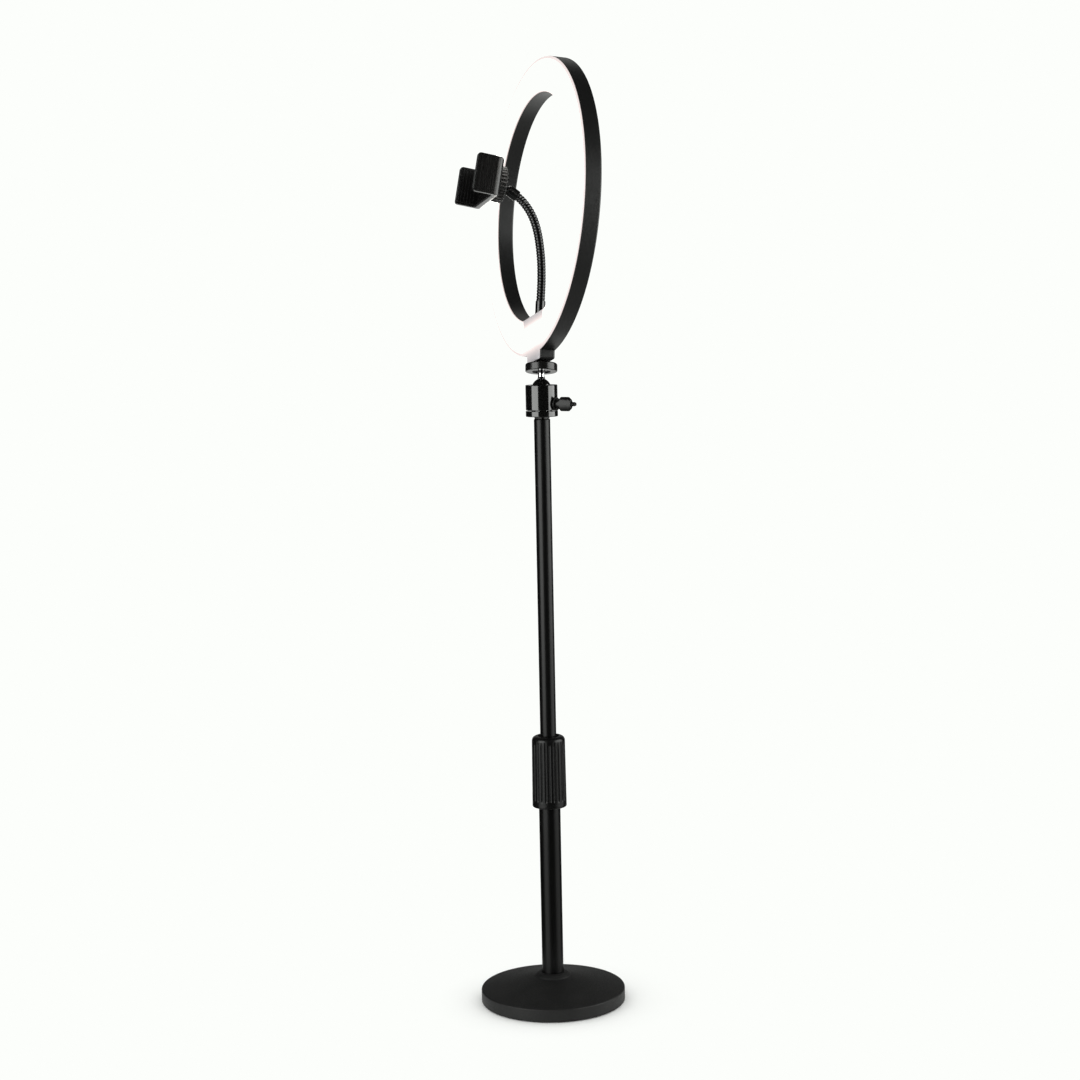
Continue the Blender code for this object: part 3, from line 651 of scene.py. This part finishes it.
def make_head():
    outer = radius_of("head_base")
    low, high = heights_of("head_base")
    lower = turned([(3.4, low), (outer, low, 0.7), (outer, 526.2, 0.45), (9.0, 526.2),
                    (9.0, 528.6), (3.4, 528.6)], 128)
    stand_for(loose("head_lower_ring", lower), "head_base")

    outer = radius_of("head_housing")
    low, high = heights_of("head_housing")
    ball_z = point_of("ball_tilt").z / MM
    room = BALL_R + 0.35
    lip = high - ball_z
    bowl = [(math.sqrt(room ** 2 - (lip * k / 6) ** 2), ball_z + lip * k / 6)
            for k in range(6, 0, -1)]
    barrel = turned([
        (0, 528.9), (9.3, 528.9), (9.3, low), (outer, low, 0.45), (outer, high, 0.7),
        (bowl[0][0] + 0.9, high, 0.3), (bowl[0][0], high - 0.5), *bowl[1:], (room, ball_z),
        (room, 543.0), (9.9, 542.4), (9.9, 530.0), (0, 530.0)], 128)
    barrel = loose("head_barrel", barrel)
    cut(barrel, lathe([(0, 6.0), (2.3, 6.0), (2.3, 16.0), (0, 16.0)], 48), KNOB)
    stand_for(barrel, "head_housing")

    globe = [(0, -BALL_R + 0.5), (3.0, -BALL_R + 0.5, 0.3)]
    start = math.degrees(math.asin(3.6 / BALL_R))
    for k in range(37):
        angle = math.radians(start + (180 - start) * k / 36)
        globe.append((BALL_R * math.sin(angle), -BALL_R * math.cos(angle)))
    globe[-1] = (0, BALL_R)
    stand_for(loose("head_ball", turned(globe, 96), shift(z=ball_z)), "ball")

    reach = BALL_R + GAP
    stem = [(0, reach)]
    stem += [(reach * math.sin(math.radians(a)), reach * math.cos(math.radians(a)))
             for a in (8, 16, 24)]
    stem += [(STEM_R + 0.1, reach + 0.5, 0.5), (STEM_R, 9.4), (STEM_R, 13.0, 0.2)]
    stem += thread(13.4, 30.8, STUD_R, 1.27) + [(0, 31.2)]
    stand_for(loose("head_stem", turned(stem, 64), STEM), "ball_stem")


def thread(low, high, radius, pitch, deep=0.35):
    """Profile points of the ridges of a screw thread."""
    points = []
    for k in range(int((high - low) / pitch)):
        z = low + pitch * k
        points += [(radius - deep, z), (radius, z + 0.35 * pitch), (radius, z + 0.5 * pitch),
                   (radius - deep, z + 0.85 * pitch)]
    return points


def make_disc():
    low, high = DISC_Z

    def knurled(angle, radius, height):
        """Fine finger notches round the middle of the rim."""
        if radius < DISC_R - 0.05 or not low + 1.6 < height < high - 2.6:
            return radius
        return radius - 0.12 * max(math.cos(DISC_NOTCHES * angle), 0) ** 2

    rim = [(DISC_R, low, 0.8), (DISC_R, high - 1.2, 1.4)]
    profile = [(STUD_R + GAP, low + 1.2), (7.2, low + 1.2, 0.3), (8.2, low, 0.3), *rim,
               (9.4, high - 0.1, 0.3), (9.0, high - 1.1), (STUD_R + GAP, high - 1.1)]
    stand_for(loose("lock_wheel", turned(profile, 144, 6, knurled), STEM), "locking_disc",
              finish=FINISHES["clamp_black"])
    pad = turned([(STUD_R + GAP, high - 0.8), (8.6, high - 0.8), (8.6, high + 0.2, 0.3),
                  (STUD_R + GAP, high + 0.2, 0.2)], 96)
    stand_for(loose("wheel_pad", pad, STEM), "disc_pad")


def make_knob():
    screw = [(0, 2.8), (0.8, 2.8), (1.9, 4.2), (1.9, 16.2)]
    screw += thread(16.4, 34.0, 1.9, 0.8, 0.22) + [(1.5, 34.9, 0.3), (0, 34.9)]
    stand_for(loose("knob_screw", turned(screw, 48, 3), KNOB), "lock_screw")
    washer = turned([(2.3, 14.3), (5.6, 14.3, 0.3), (6.0, 15.6, 0.5), (2.3, 15.6)], 64)
    stand_for(loose("knob_washer", washer, KNOB), "lock_washer")

    def winged(angle, radius, height):
        """Flattens the turned body into two wings that thin out from the hub."""
        thin = min(radius, WING_THICK - WING_TAPER * (height - WING_FOOT))
        return 1 / math.hypot(math.cos(angle) / radius, math.sin(angle) / thin)

    wing = turned([(2.2, WING_FOOT), (3.6, WING_FOOT, 0.4), (4.1, 18.4, 0.6),
                   (6.2, 20.0, 1.2), (6.2, 28.0, 1.4), (4.2, 30.4, 0.8), (2.2, 30.4)],
                  96, 5, winged)
    stand_for(loose("knob_wing", wing, KNOB), "lock_knob")


# ---------------------------------------------------------------- ring
RING_R, RING_IN = 130.0, 99.5
FRONT, BACK = -7.75, 7.75
LIP = -6.4                     # front edge of the rear shell
WALL = 1.8
SCREW_PCR = 114.75
BOSS = (128.6, 136.6)          # foot of the ring, from inside the rim to its underside
PAD_DOWN = 95.6                # flat inside the ring that the arm stands on


def ring_boss(low, high, edge):
    """Tapered block under the ring that stands on the lock wheel."""
    top, bottom = BOSS
    half = 16.0
    return moulded([(-half, top, 0, 0), (half, top, 0, edge), (half - 0.5, bottom, 2.0, edge),
                    (-half + 0.5, bottom, 2.0, edge)], low, high)


def arm_pad(low, high, edge):
    """Segment that fills the bottom of the ring's opening up to a flat."""
    radius = RING_IN + 0.9
    reach = math.asin(math.sqrt(radius ** 2 - PAD_DOWN ** 2) / radius)
    turns = [reach * (1 - k / 12) for k in range(25)]
    arc = [(radius * math.sin(a), radius * math.cos(a), 0, 0) for a in turns]
    arc[-1] = (*arc[-1][:3], edge)
    return moulded(arc, low, high)


def around(offset, count=1):
    """Frames spaced round the ring on the circle of screws, from its lowest point."""
    for k in range(count):
        yield RING @ turn(offset + 360 * k / count, "Z") @ shift(y=SCREW_PCR)


def make_ring():
    outer, inner, floor = RING_R - WALL, RING_IN + WALL, BACK - WALL
    line = [(126.6, BACK), (126.2, BACK - 0.4), (125.8, BACK - 0.4), (125.4, BACK)]
    inner_line = [(104.1, BACK), (103.7, BACK - 0.4), (103.3, BACK - 0.4), (102.9, BACK)]
    shell = loose("ring_case", turned([
        (RING_R, LIP, 0.2), (RING_R, BACK, 1.3), *line, *inner_line, (RING_IN, BACK, 1.3),
        (RING_IN, LIP, 0.2), (inner, LIP), (inner, floor), (outer, floor), (outer, LIP)],
        240), RING)
    join(shell, ring_boss(LIP, BACK - 0.6, 1.5), RING)
    join(shell, arm_pad(LIP, BACK - 0.6, 0.8), RING)
    cut(shell, lathe([(0, 20.0), (5.2, 20.0), (5.2, 32.4), (0, 32.4)], 64), STEM)
    cut(shell, lathe([(0, -8), (2.3, -8), (2.3, 0), (4.9, 0), (4.9, 6), (0, 6)], 48), FERRULE)
    for place in around(30, 6):
        cut(shell, lathe([(0, floor - 2), (1.9, floor - 2), (1.9, BACK - 0.9),
                          (3.1, BACK - 0.9), (3.1, BACK + 2), (0, BACK + 2)], 48), place)
    inlet = next(around(20))
    cut(shell, lathe([(0, floor - 2), (3.2, floor - 2), (3.2, BACK + 2), (0, BACK + 2)], 48),
        inlet)
    settle(shell)
    stand_for(shell, "ring_shell")

    cover = loose("ring_cover", turned([
        (RING_IN + 0.1, LIP - GAP), (RING_IN + 0.1, FRONT, 0.9), (RING_R - 0.1, FRONT, 0.9),
        (RING_R - 0.1, LIP - GAP), (outer - GAP, LIP - GAP), (outer - GAP, LIP + 0.8),
        (inner + GAP, LIP + 0.8), (inner + GAP, LIP - GAP)], 240), RING)
    join(cover, ring_boss(FRONT + 0.1, LIP - GAP, 0.35), RING)
    join(cover, arm_pad(FRONT + 0.1, LIP - GAP, 0.4), RING)
    settle(cover)
    stand_for(cover, "ring_diffuser")

    barrel = turned([
        (0, 5.5), (2.9, 5.5), (2.9, BACK + GAP), (4.6, BACK + GAP, 0.2), (4.6, BACK + 1.8, 0.6),
        (1.7, BACK + 1.8, 0.3), (1.5, 6.6), (0.5, 6.6), (0.5, BACK + 0.6, 0.2),
        (0, BACK + 0.6)], 64)
    stand_for(loose("inlet_barrel", barrel, inlet), "power_inlet")
    for k, place in enumerate(around(30, 6)):
        stand_for(loose(f"case_screw_head_{k + 1}", screw_body(), place), f"case_screw_{k + 1}")


def screw_body():
    """Pan-head screw with a cross recess."""
    profile = [(0, 4.2), (1.0, 4.2), *thread(4.4, BACK - 1.0, 1.5, 0.6, 0.25), (1.4, BACK - 0.6),
               (2.7, BACK - 0.6, 0.1), (2.7, BACK - 0.1, 0.25), (1.9, BACK + 0.4, 0.4),
               (0, BACK + 0.4)]
    screw = loose("screw", turned(profile, 48, 4))
    for degrees in (0, 90):
        slot = moulded([(-1.5, -0.28, 0, 0.01), (1.5, -0.28, 0, 0.01), (1.5, 0.28, 0, 0.01),
                        (-1.5, 0.28, 0, 0.01)], BACK - 0.35, BACK + 1.0)
        cut(screw, slot, turn(degrees, "Z"))
    result = bmesh.new()
    result.from_mesh(screw.data)
    bpy.data.objects.remove(screw, do_unlink=True)
    return result


# ---------------------------------------------------------------- flexible arm
HOLDER_BALL_R = 5.6
HOSE_R, HOSE_ROOT = 3.8, 2.9   # crests and roots of the wound hose
HOSE_PITCH = 2.6
HOSE_SIDES = 28
RINGS_PER_TURN = 12
LINKS = 5                      # hose pieces between the arm's joints
LINK_STEPS = 200               # points of the arm's line along each of them


def arm_curve():
    """Smooth line through the arm's joints, as (point, direction, length so far)."""
    ways = [(ARM[1] - ARM[0]).normalized().lerp(axis_of("arm_turn"), 0.5).normalized()]
    ways += [(c - a).normalized() for a, c in zip(ARM[:-2], ARM[2:])]
    ways.append((ARM_END - ARM[-1]).normalized())
    line, run = [], 0.0
    for k in range(len(ARM) - 1):
        a, b = ARM[k], ARM[k + 1]
        span = (b - a).length
        ta, tb = ways[k] * span, ways[k + 1] * span
        for n in range(LINK_STEPS):
            u = n / LINK_STEPS
            place = (a * (2 * u ** 3 - 3 * u ** 2 + 1) + ta * (u ** 3 - 2 * u ** 2 + u)
                     + b * (3 * u ** 2 - 2 * u ** 3) + tb * (u ** 3 - u ** 2))
            slope = (a * (6 * u ** 2 - 6 * u) + ta * (3 * u ** 2 - 4 * u + 1)
                     + b * (6 * u - 6 * u ** 2) + tb * (3 * u ** 2 - 2 * u))
            if line:
                run += (place - line[-1][0]).length
            line.append((place, slope.normalized(), run))
    return line


def at_length(line, run):
    """Point and direction on the arm's line at a length along it."""
    lengths = [entry[2] for entry in line]
    if run <= 0:
        return line[0][0] + line[0][1] * run, line[0][1]
    if run >= lengths[-1]:
        return line[-1][0] + line[-1][1] * (run - lengths[-1]), line[-1][1]
    k = int(np.searchsorted(lengths, run))
    (a, da, ra), (b, db, rb) = line[k - 1], line[k]
    share = (run - ra) / (rb - ra)
    return a.lerp(b, share), da.lerp(db, share).normalized()


def wound(line, start, end):
    """Hose with a helical ridge, between two lengths along the line."""
    bm = bmesh.new()
    step = HOSE_PITCH * MM / RINGS_PER_TURN
    rings = []
    for n in range(round((end - start) / step) + 1):
        run = start + n * step
        centre, direction = at_length(line, run)
        side = direction.cross(across)
        ring = []
        for i in range(HOSE_SIDES):
            angle = math.tau * i / HOSE_SIDES
            phase = math.tau * run / (HOSE_PITCH * MM) + angle
            crest = math.sqrt(max(1 - (phase / math.pi % 2 - 1) ** 2, 0))
            radius = (HOSE_ROOT + (HOSE_R - HOSE_ROOT) * crest) * MM
            ring.append(bm.verts.new(centre + radius * (across * math.cos(angle)
                                                        + side * math.sin(angle))))
        rings.append(ring)
    bm.faces.new(rings[0])
    bm.faces.new(rings[-1])
    for ring, after in zip(rings, rings[1:]):
        skin(bm, ring, after)
    return bm


def make_arm():
    line = arm_curve()
    ends = [line[LINK_STEPS * k][2] for k in range(LINKS)] + [line[-1][2]]
    middles = [(a + b) / 2 for a, b in zip(ends, ends[1:])]
    starts = [-3.0 * MM] + middles
    stops = middles + [ends[-1] + 2.0 * MM]
    for k, (start, stop) in enumerate(zip(starts, stops)):
        hose = loose(f"hose_{k + 1}", wound(line, start, stop))
        hose.data.materials.append(FINISHES["hose_black"])
        hose.data.shade_smooth()
        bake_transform(hose)
        if k < LINKS:
            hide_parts(f"arm_link_{k + 1}")

    stud = [(0, -7.5), (1.9, -7.5, 0.2), (1.9, 0.1), (4.5, 0.1, 0.3), (4.5, 1.7, 0.3),
            (4.3, 2.2, 0.3), (4.3, 16.2, 0.7), (3.5, 16.6), (0, 16.6)]
    stand_for(loose("hose_ferrule", turned(stud, 64), FERRULE), "arm_ferrule")
    span = (ARM_END - ARM[-1]).length / MM
    mouth = span - HOLDER_BALL_R - 0.6
    sleeve = [(3.3, -0.6), (3.6, 0.0), (4.9, 0.4, 0.5), (4.9, mouth - 1.4, 0.4),
              (4.1, mouth, 0.4), (2.5, mouth), (2.5, 4.4), (0, 4.4), (0, 3.0), (3.2, 3.0)]
    stand_for(loose("hose_sleeve", turned(sleeve, 64), SLEEVE), "arm_sleeve",
              finish=FINISHES["knob_black"])
    neck = [(0, 4.7), (2.2, 4.7)]
    ball = HOLDER_BALL_R
    neck += [(ball * math.sin(math.radians(a)), span - ball * math.cos(math.radians(a)))
             for a in range(24, 180, 6)]
    stand_for(loose("holder_stud", turned(neck + [(0, span + ball)], 64), SLEEVE), "holder_ball")


# ---------------------------------------------------------------- phone holder
JAW_X, JAW_T = 36.0, 4.5
JAW_FRONT, BAR_FRONT, BAR_BACK = -32.1, -14.6, -7.6
JAW_Z = (-17.6, 16.0)
BAR_END = 24.0
CORNER = 6.2                   # between each jaw and the back of the bar
COLLAR_R, COLLAR_SKIN = 16.0, 15.4  # what lies outside the skin radius is ribbed
COLLAR_RIBS = 28
PAD_SEAT, PAD_T = 1.8, 1.5     # room for a jaw's pad, and the pad


def make_holder():
    low, high = JAW_Z
    face = BAR_FRONT + 0.3
    frame_l = [(-JAW_X, JAW_FRONT, 0.9, 3.2), (-JAW_X + JAW_T, JAW_FRONT, 0.9, 0.9),
               (-JAW_X + JAW_T, face, 0.8, 0.9), (BAR_END, face, 0.2, 0.3),
               (BAR_END, BAR_BACK, 0.2, 3.0), (-JAW_X, BAR_BACK, CORNER, 0.9)]
    body = loose("clamp_frame", moulded(frame_l, low, high), HOLDER)
    rest = moulded([(-29.4, BAR_FRONT, 0, 0.15), (BAR_END - 1, BAR_FRONT, 0, 0.15),
                    (BAR_END - 1, BAR_FRONT + 1.0, 0, 0.15), (-29.4, BAR_FRONT + 1.0, 0, 0.15)],
                   low + 1, high - 1)
    join(body, rest, HOLDER)
    join(body, turned([(0, -11.0), (11.0, -11.0), (11.0, 1.4, 0.6), (0, 1.4)], 96), HOLDER_AXIS)
    cut(body, turned([(0, -7.5), (8.5, -7.5), (8.5, 4.0), (0, 4.0)], 96), HOLDER_AXIS)
    tongue = [(-26.0, -12.1, 0, 0.1), (BAR_END + 4, -12.1, 0, 0.1), (BAR_END + 4, -8.7, 0, 0.1),
              (-26.0, -8.7, 0, 0.1)]
    cut(body, moulded(tongue, -11.0, 9.4), HOLDER)
    rod = HOLDER @ shift(y=-10.4, z=12.6) @ turn(90, "Y")
    cut(body, lathe([(0, -26.0), (1.9, -26.0), (1.9, 30.0), (0, 30.0)], 32), rod)
    stand_for(body, "clamp_body", finish=FINISHES["clamp_black"])

    slider_l = [(JAW_X - JAW_T, JAW_FRONT, 0.9, 3.2), (JAW_X, JAW_FRONT, 0.9, 0.9),
                (JAW_X, BAR_BACK, CORNER, 3.0), (BAR_END + GAP, BAR_BACK, 0.2, 0.3),
                (BAR_END + GAP, BAR_FRONT, 0.2, 0.9), (JAW_X - JAW_T, BAR_FRONT, 0.8, 0.9)]
    slider = loose("clamp_slider", moulded(slider_l, low, high), HOLDER)
    tongue = [(-24.0, -11.8, 0, 0.1), (BAR_END + 4, -11.8, 0, 0.1), (BAR_END + 4, -9.0, 0, 0.1),
              (-24.0, -9.0, 0, 0.1)]
    join(slider, moulded(tongue, -10.7, 9.1), HOLDER)
    stand_for(slider, "sliding_jaw", finish=FINISHES["clamp_black"])

    for name, node, x in (("fixed_grip_pad", "fixed_pad", -JAW_X + JAW_T + GAP),
                          ("sliding_grip_pad", "sliding_pad", JAW_X - JAW_T - PAD_SEAT)):
        stand_for(ribbed_pad(name, x), node)
    spring = [(0, -22.0)]
    for n in range(64):
        spring.append((1.1 + 0.35 * math.sin(math.pi * n / 2) ** 2, -21.9 + 0.65 * n))
    stand_for(loose("clamp_coil", lathe(spring + [(0, 20.0)], 32), rod), "clamp_spring")

    def ribbed(angle, radius, height):
        """Grip ribs round the collar."""
        if radius < COLLAR_SKIN or not -6.2 < height < 1.6:
            return radius
        return radius - 0.7 * (0.5 + 0.5 * math.cos(COLLAR_RIBS * angle)) ** 1.5

    collar = turned([(11.3, -6.8), (15.2, -6.8, 0.3), (COLLAR_R, -6.0, 0.3), (COLLAR_R, -3.0),
                     (COLLAR_R, -1.0), (COLLAR_R, 1.0, 0.4), (14.4, 2.4, 0.8),
                     (9.0, 2.4, 0.4), (9.0, 1.8), (11.3, 1.8)], COLLAR_RIBS * 12, 4, ribbed)
    stand_for(loose("collar_ring", collar, HOLDER_AXIS), "collar_nut",
              finish=FINISHES["clamp_black"], angle=50)
    ball = HOLDER_BALL_R + GAP
    bowl = [(ball * math.sin(math.radians(a)), -ball * math.cos(math.radians(a)))
            for a in range(108, 10, -8)]
    liner = lathe([(0, -7.2), (8.2, -7.2), (8.2, bowl[0][1]), *bowl, (0, -ball)], 64)
    stand_for(loose("ball_liner", liner, HOLDER_AXIS), "socket_liner")


def ribbed_pad(name, x):
    """Rubber pad with upright ribs, lying along a jaw."""
    low, high = JAW_Z[0] + 1.6, JAW_Z[1] - 1.6
    pad = moulded([(x, -30.8, 0.3, 2.2), (x + PAD_T, -30.8, 0.3, 0.3),
                   (x + PAD_T, -14.6, 0.3, 2.2), (x, -14.6, 0.3, 0.3)], low, high)
    pad = loose(name, pad, HOLDER)
    for k in range(5):
        y = -28.4 + 2.8 * k
        for face in (x, x + PAD_T):
            cut(pad, lathe([(0, -40), (0.35, -40), (0.35, 40), (0, 40)], 8),
                HOLDER @ shift(x=face, y=y))
    return pad


# ---------------------------------------------------------------- stage
TENT = 1.05                    # just over white, so that the paper clips evenly
VIEW_TURN = 71.35              # degrees about +Z from looking along +Y
VIEW_DOWN = 6.52
VIEW_ROLL = -1.15
CAMERA_BEARING = 71.23
CAMERA_AWAY = 1836.6           # from the stand's axis
CAMERA_HIGH = 623.4
LENS = 70.62
PAPER = (0.9734, 0.9911, 0.9647)  # white of the picture
SIDE_AWAY = 1250               # of the side lights, from the stand's axis
# Each side light from top to floor: lower and upper edge, left and right radiance
SOFTBOXES = ((300, 1300, 4.3, 4.2), (90, 300, 3.0, 2.2), (-80, 90, 2.2, 1.5),
             (-700, -80, 0.9, 0.55))


def bearing(degrees, distance, height):
    """A place at a bearing from the stand's axis; 0 is towards -Y, 90 towards +X."""
    angle = math.radians(degrees)
    return Vector((math.sin(angle) * distance, -math.cos(angle) * distance, height)) * MM


def make_camera():
    data = bpy.data.cameras.new("view")
    data.sensor_width = 36.0
    data.lens = LENS
    camera = bpy.data.objects.new("view", data)
    camera.matrix_world = (Matrix.Translation(bearing(CAMERA_BEARING, CAMERA_AWAY, CAMERA_HIGH))
                           @ turn(VIEW_TURN, "Z") @ turn(90 - VIEW_DOWN, "X")
                           @ turn(VIEW_ROLL, "Z"))
    bpy.context.scene.collection.objects.link(camera)
    bpy.context.scene.camera = camera


def softbox(name, degrees, away, height, width, tall, radiance):
    """Tall soft light that faces the stand."""
    data = bpy.data.lights.new(name, "AREA")
    data.shape = "RECTANGLE"
    data.size, data.size_y = width * MM, tall * MM
    data.energy = radiance * math.pi * data.size * data.size_y
    lamp = bpy.data.objects.new(name, data)
    place = bearing(degrees, away, height)
    aim = (Vector((0, 0, height * MM)) - place).to_track_quat("-Z", "Y")
    lamp.matrix_world = Matrix.Translation(place) @ aim.to_matrix().to_4x4()
    lamp.visible_camera = False
    lamp.visible_diffuse = False
    bpy.context.scene.collection.objects.link(lamp)


NEAR_R, WIDE_R = 110.0, 9000.0  # the two parts of the floor
FLOOR_SIDES = 96


def make_floor():
    """Pale paper floor: a disc round the foot, and the wide sheet that it lies in.

    Only the disc shows in the gloss, because the glow below stands for the rest.
    """
    look = Finish("paper", Roughness=0.9, Specular_IOR_Level=0.0)
    fibre = look.spread(look.noise(2.0, 4), 0.0, 1.0)
    look.colour(look.blend(fibre, (0.99, 0.99, 0.99), (1.0, 1.0, 1.0)))
    for name, inner, outer in (("floor_near", 0.0, NEAR_R), ("floor_wide", NEAR_R, WIDE_R)):
        bm = bmesh.new()
        rings = []
        for radius in (inner, outer):
            if radius == 0:
                rings.append([bm.verts.new((0, 0, 0))])
                continue
            rings.append([bm.verts.new((radius * MM * math.cos(math.tau * i / FLOOR_SIDES),
                                        radius * MM * math.sin(math.tau * i / FLOOR_SIDES), 0))
                          for i in range(FLOOR_SIDES)])
        skin(bm, *rings)
        floor = loose(name, bm)
        floor.data.materials.append(look.material)
        floor.visible_glossy = name == "floor_near"


AWAY = bearing(CAMERA_BEARING + 180, 1000, 0)
# Paper that shows in the gloss: direction, cosines where it starts and is full, radiance
GLOWS = ((Vector((0, 0, -1)), 0.55, 0.95, 0.32), (AWAY, 0.80, 0.97, 0.35),
         (AWAY + Vector((0, 0, -0.7)), 0.82, 0.95, 0.85))


DARK = 0.01                    # radiance that the gloss sees everywhere else


def make_world():
    """Even light tent: bright paper all round, of which the gloss sees only the glows."""
    world = bpy.data.worlds.new("tent")
    bpy.context.scene.world = world
    world.use_nodes = True
    tree = world.node_tree
    tent = tree.nodes["Background"]
    tent.inputs["Strength"].default_value = TENT
    tent.inputs["Color"].default_value = (1.0, 1.0, 1.0, 1.0)
    dark = tree.nodes.new("ShaderNodeBackground")
    place = tree.nodes.new("ShaderNodeTexCoord").outputs["Generated"]
    total = None
    for direction, edge, full, strength in GLOWS:
        facing = tree.nodes.new("ShaderNodeVectorMath")
        facing.operation = "DOT_PRODUCT"
        facing.inputs[1].default_value = direction.normalized()
        tree.links.new(place, facing.inputs[0])
        glow = tree.nodes.new("ShaderNodeMapRange")
        glow.inputs["From Min"].default_value = edge
        glow.inputs["From Max"].default_value = full
        glow.inputs["To Max"].default_value = strength
        tree.links.new(facing.outputs["Value"], glow.inputs["Value"])
        added = tree.nodes.new("ShaderNodeMath")
        added.inputs[0].default_value = DARK
        if total is not None:
            tree.links.new(total, added.inputs[0])
        tree.links.new(glow.outputs[0], added.inputs[1])
        total = added.outputs[0]
    tree.links.new(total, dark.inputs["Strength"])
    rays = tree.nodes.new("ShaderNodeLightPath")
    mix = tree.nodes.new("ShaderNodeMixShader")
    tree.links.new(rays.outputs["Is Glossy Ray"], mix.inputs["Fac"])
    tree.links.new(tent.outputs[0], mix.inputs[1])
    tree.links.new(dark.outputs[0], mix.inputs[2])
    tree.links.new(mix.outputs[0], tree.nodes["World Output"].inputs["Surface"])


def make_picture():
    """Plain colour transform whose white stops at the tint of the paper."""
    view = bpy.context.scene.view_settings
    view.view_transform = "Standard"
    view.use_curve_mapping = True
    view.curve_mapping.extend = "HORIZONTAL"
    for curve, white in zip(view.curve_mapping.curves, PAPER):
        curve.points[1].location = (1.0, white)
    view.curve_mapping.update()


def make_stage():
    make_camera()
    make_floor()
    make_world()
    for k, (low, high, left, right) in enumerate(SOFTBOXES):
        middle, tall = (low + high) / 2, high - low
        softbox(f"left_softbox_{k}", CAMERA_BEARING - 50, SIDE_AWAY, middle, width=1120,
                tall=tall, radiance=left)
        softbox(f"right_softbox_{k}", CAMERA_BEARING + 78, SIDE_AWAY, middle, width=1260,
                tall=tall, radiance=right)
    softbox("rear_panel", CAMERA_BEARING + 180, away=1500, height=1750, width=1500, tall=700,
            radiance=0.25)
    make_picture()


for name, obj in frame["nodes"].items():
    obj.data.materials.clear()
    obj.data.materials.append(FINISHES[SLOTS[name]])

make_foot()
make_tube("pole_lower", "lower_tube", 1.2)
make_tube("pole_upper", "upper_tube", 1.1)
make_grip()
make_head()
make_disc()
make_knob()
make_ring()
make_arm()
make_holder()
make_stage()
